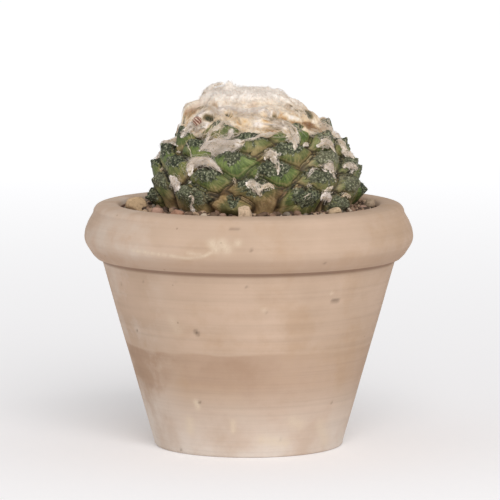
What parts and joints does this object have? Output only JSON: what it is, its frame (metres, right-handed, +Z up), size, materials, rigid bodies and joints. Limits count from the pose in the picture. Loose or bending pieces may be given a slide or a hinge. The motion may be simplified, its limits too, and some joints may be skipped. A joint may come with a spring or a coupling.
{
  "type": "potted ariocarpus",
  "caption": "Living-rock cactus with warty overlapping tubercles and a woolly crown, rooted under grit in a tapered clay pot with a rolled rim.",
  "frame": {"origin": "centre of the pot's foot, on the surface it stands on", "axes": "+Z up along the pot's axis; the pictured side faces -Y, +X to the viewer's right"},
  "size_m": [0.15, 0.15, 0.1665],
  "materials": {
    "terracotta": "unglazed pale fired clay, dry and matt",
    "soil": "dark gritty potting mix",
    "gravel": "mixed tan, pink and grey grit, dry",
    "green_skin": "waxy green epidermis, warty above and smooth below",
    "dry_petal": "shrivelled brown petals",
    "wool": "matted cream to white plant wool"
  },
  "bodies": {
    "root": {"terracotta_pot": "terracotta", "drainage_crock": "terracotta", "soil": "soil", "gravel_bed": "gravel", "stone_1": "gravel", "stone_2": "gravel", "stone_3": "gravel", "stone_4": "gravel", "stone_5": "gravel", "stone_6": "gravel", "stone_7": "gravel", "stone_8": "gravel", "ariocarpus_body": "green_skin", "dried_flower": "dry_petal", "crown_wool": "wool", "wool_tuft_27": "wool", "wool_tuft_28": "wool", "wool_tuft_29": "wool", "wool_tuft_30": "wool", "wool_tuft_31": "wool", "wool_tuft_32": "wool", "wool_tuft_33": "wool", "wool_tuft_34": "wool", "wool_tuft_35": "wool", "wool_tuft_36": "wool", "wool_tuft_37": "wool", "wool_tuft_38": "wool", "wool_tuft_39": "wool", "wool_tuft_40": "wool", "wool_tuft_41": "wool", "wool_tuft_42": "wool", "wool_tuft_43": "wool", "wool_tuft_44": "wool", "wool_tuft_45": "wool", "wool_tuft_46": "wool", "wool_tuft_47": "wool", "wool_tuft_48": "wool", "wool_tuft_49": "wool", "wool_tuft_50": "wool", "wool_tuft_51": "wool", "wool_tuft_52": "wool", "wool_tuft_53": "wool", "wool_tuft_54": "wool", "wool_tuft_55": "wool", "wool_tuft_56": "wool"}
  },
  "joints": []
}
